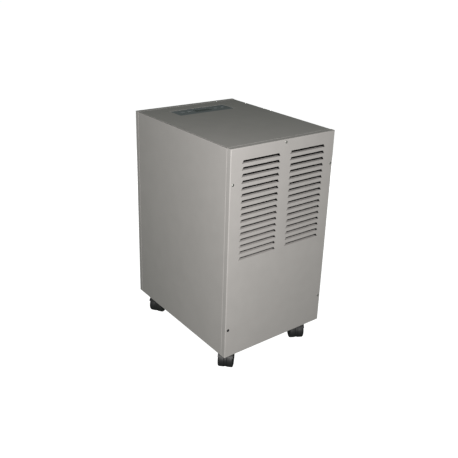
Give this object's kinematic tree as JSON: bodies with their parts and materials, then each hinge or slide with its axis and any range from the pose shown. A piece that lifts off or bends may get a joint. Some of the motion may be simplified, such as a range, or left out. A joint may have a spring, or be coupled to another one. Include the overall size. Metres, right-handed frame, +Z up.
{
  "type": "dehumidifier",
  "caption": "Upright commercial dehumidifier: folded steel cabinet on swivel casters, with louvred outlet panel, intake filter, pull-out water tank and refrigeration circuit.",
  "frame": {"origin": "centre of the footprint, on the floor under the caster wheels", "axes": "+Z up; -Y is the louvred outlet face; +Y is the face with the intake filter and the water tank; +X is to the right when looking at the louvred face"},
  "size_m": [0.358, 0.4731, 0.66],
  "materials": {
    "powder_coat": "warm light grey powder coat, fine texture, satin",
    "galvanised": "galvanised sheet, dull",
    "zinc": "bright zinc plate",
    "black_oxide": "black plated steel",
    "fin_aluminium": "bare fin stock",
    "black_plastic": "moulded, fine grain",
    "grey_plastic": "moulded, satin",
    "compressor_paint": "black enamel, satin",
    "copper": "drawn copper tube",
    "board_green": "solder mask",
    "fascia_film": "dark blue-grey overlay, satin",
    "smoked_window": "smoked acrylic",
    "filter_nylon": "woven nylon mesh",
    "tank_plastic": "moulded, satin",
    "float_foam": "closed-cell foam",
    "tread": "hard black tread"
  },
  "bodies": {
    "root": {"base_pan": "galvanised", "cabinet_wrap": "powder_coat", "louvred_panel": "powder_coat", "rear_panel": "powder_coat", "mid_shelf": "galvanised", "divider": "galvanised", "screw_front_top": "zinc", "screw_front_upper_left": "zinc", "screw_front_upper_right": "zinc", "screw_front_lower_left": "black_oxide", "screw_front_lower_right": "zinc", "screw_rear_left": "zinc", "screw_rear_right": "zinc", "evaporator_coil": "fin_aluminium", "condenser_coil": "fin_aluminium", "drip_tray": "galvanised", "fan_shroud": "black_plastic", "motor_bracket": "galvanised", "fan_motor": "black_plastic", "compressor": "compressor_paint", "terminal_cover": "black_plastic", "accumulator": "compressor_paint", "discharge_pipe": "copper", "suction_pipe": "copper", "filter_drier": "copper", "capillary_tube": "copper", "control_box": "grey_plastic", "control_board": "board_green", "control_fascia": "fascia_film", "display_window": "smoked_window", "humidity_sensor": "grey_plastic", "run_capacitor": "grey_plastic", "cord_gland": "black_plastic", "float_switch": "black_plastic", "caster_front_left_plate": "zinc", "caster_front_right_plate": "zinc", "caster_rear_left_plate": "zinc", "caster_rear_right_plate": "zinc"},
    "fan": {"fan_impeller": "black_plastic"},
    "filter_cassette": {"filter_frame": "black_plastic", "filter_mesh": "filter_nylon"},
    "tank": {"water_tank": "tank_plastic", "tank_lid": "grey_plastic"},
    "float": {"tank_float": "float_foam"},
    "key_1": {"key_1": "fascia_film"},
    "key_2": {"key_2": "fascia_film"},
    "key_3": {"key_3": "fascia_film"},
    "key_4": {"key_4": "fascia_film"},
    "caster_front_left": {"caster_front_left_hood": "black_plastic"},
    "wheel_front_left_a": {"caster_front_left_wheel_a": "tread"},
    "wheel_front_left_b": {"caster_front_left_wheel_b": "tread"},
    "caster_front_right": {"caster_front_right_hood": "black_plastic"},
    "wheel_front_right_a": {"caster_front_right_wheel_a": "tread"},
    "wheel_front_right_b": {"caster_front_right_wheel_b": "tread"},
    "caster_rear_left": {"caster_rear_left_hood": "black_plastic"},
    "wheel_rear_left_a": {"caster_rear_left_wheel_a": "tread"},
    "wheel_rear_left_b": {"caster_rear_left_wheel_b": "tread"},
    "caster_rear_right": {"caster_rear_right_hood": "black_plastic"},
    "wheel_rear_right_a": {"caster_rear_right_wheel_a": "tread"},
    "wheel_rear_right_b": {"caster_rear_right_wheel_b": "tread"}
  },
  "joints": [
    {"name": "fan_spin", "type": "hinge", "parent": "root", "child": "fan", "pos_m": [0, 0.018, 0.49], "axis": [0, 1, 0], "continuous": true},
    {"name": "filter_slide", "type": "slide", "parent": "root", "child": "filter_cassette", "axis": [0, 1, 0], "range_m": [0, 0.06]},
    {"name": "tank_slide", "type": "slide", "parent": "root", "child": "tank", "axis": [0, 1, 0], "range_m": [0, 0.175]},
    {"name": "float_hinge", "type": "hinge", "parent": "tank", "child": "float", "pos_m": [0.06, 0.108, 0.284], "axis": [1, 0, 0], "range_deg": [0, 42]},
    {"name": "key_1_press", "type": "slide", "parent": "root", "child": "key_1", "axis": [0, 0, -1], "range_m": [0, 0.001], "stiffness_N_per_m": 400},
    {"name": "key_2_press", "type": "slide", "parent": "root", "child": "key_2", "axis": [0, 0, -1], "range_m": [0, 0.001], "stiffness_N_per_m": 400},
    {"name": "key_3_press", "type": "slide", "parent": "root", "child": "key_3", "axis": [0, 0, -1], "range_m": [0, 0.001], "stiffness_N_per_m": 400},
    {"name": "key_4_press", "type": "slide", "parent": "root", "child": "key_4", "axis": [0, 0, -1], "range_m": [0, 0.001], "stiffness_N_per_m": 400},
    {"name": "swivel_front_left", "type": "hinge", "parent": "root", "child": "caster_front_left", "pos_m": [-0.131, -0.183, 0.052], "axis": [0, 0, 1], "continuous": true},
    {"name": "swivel_front_right", "type": "hinge", "parent": "root", "child": "caster_front_right", "pos_m": [0.131, -0.183, 0.052], "axis": [0, 0, 1], "continuous": true},
    {"name": "swivel_rear_left", "type": "hinge", "parent": "root", "child": "caster_rear_left", "pos_m": [-0.131, 0.183, 0.052], "axis": [0, 0, 1], "continuous": true},
    {"name": "swivel_rear_right", "type": "hinge", "parent": "root", "child": "caster_rear_right", "pos_m": [0.131, 0.183, 0.052], "axis": [0, 0, 1], "continuous": true},
    {"name": "roll_front_left_a", "type": "hinge", "parent": "caster_front_left", "child": "wheel_front_left_a", "pos_m": [-0.14302, -0.19502, 0.025], "axis": [0.7071, -0.7071, 0], "continuous": true},
    {"name": "roll_front_left_b", "type": "hinge", "parent": "caster_front_left", "child": "wheel_front_left_b", "pos_m": [-0.14302, -0.19502, 0.025], "axis": [0.7071, -0.7071, 0], "continuous": true},
    {"name": "roll_front_right_a", "type": "hinge", "parent": "caster_front_right", "child": "wheel_front_right_a", "pos_m": [0.1225, -0.19772, 0.025], "axis": [0.866, -0.5, 0], "continuous": true},
    {"name": "roll_front_right_b", "type": "hinge", "parent": "caster_front_right", "child": "wheel_front_right_b", "pos_m": [0.1225, -0.19772, 0.025], "axis": [0.866, -0.5, 0], "continuous": true},
    {"name": "roll_rear_left_a", "type": "hinge", "parent": "caster_rear_left", "child": "wheel_rear_left_a", "pos_m": [-0.14509, 0.17349, 0.025], "axis": [0.5592, -0.829, 0], "continuous": true},
    {"name": "roll_rear_left_b", "type": "hinge", "parent": "caster_rear_left", "child": "wheel_rear_left_b", "pos_m": [-0.14509, 0.17349, 0.025], "axis": [0.5592, -0.829, 0], "continuous": true},
    {"name": "roll_rear_right_a", "type": "hinge", "parent": "caster_rear_right", "child": "wheel_rear_right_a", "pos_m": [0.11962, 0.17037, 0.025], "axis": [0.7431, -0.6691, 0], "continuous": true},
    {"name": "roll_rear_right_b", "type": "hinge", "parent": "caster_rear_right", "child": "wheel_rear_right_b", "pos_m": [0.11962, 0.17037, 0.025], "axis": [0.7431, -0.6691, 0], "continuous": true}
  ]
}
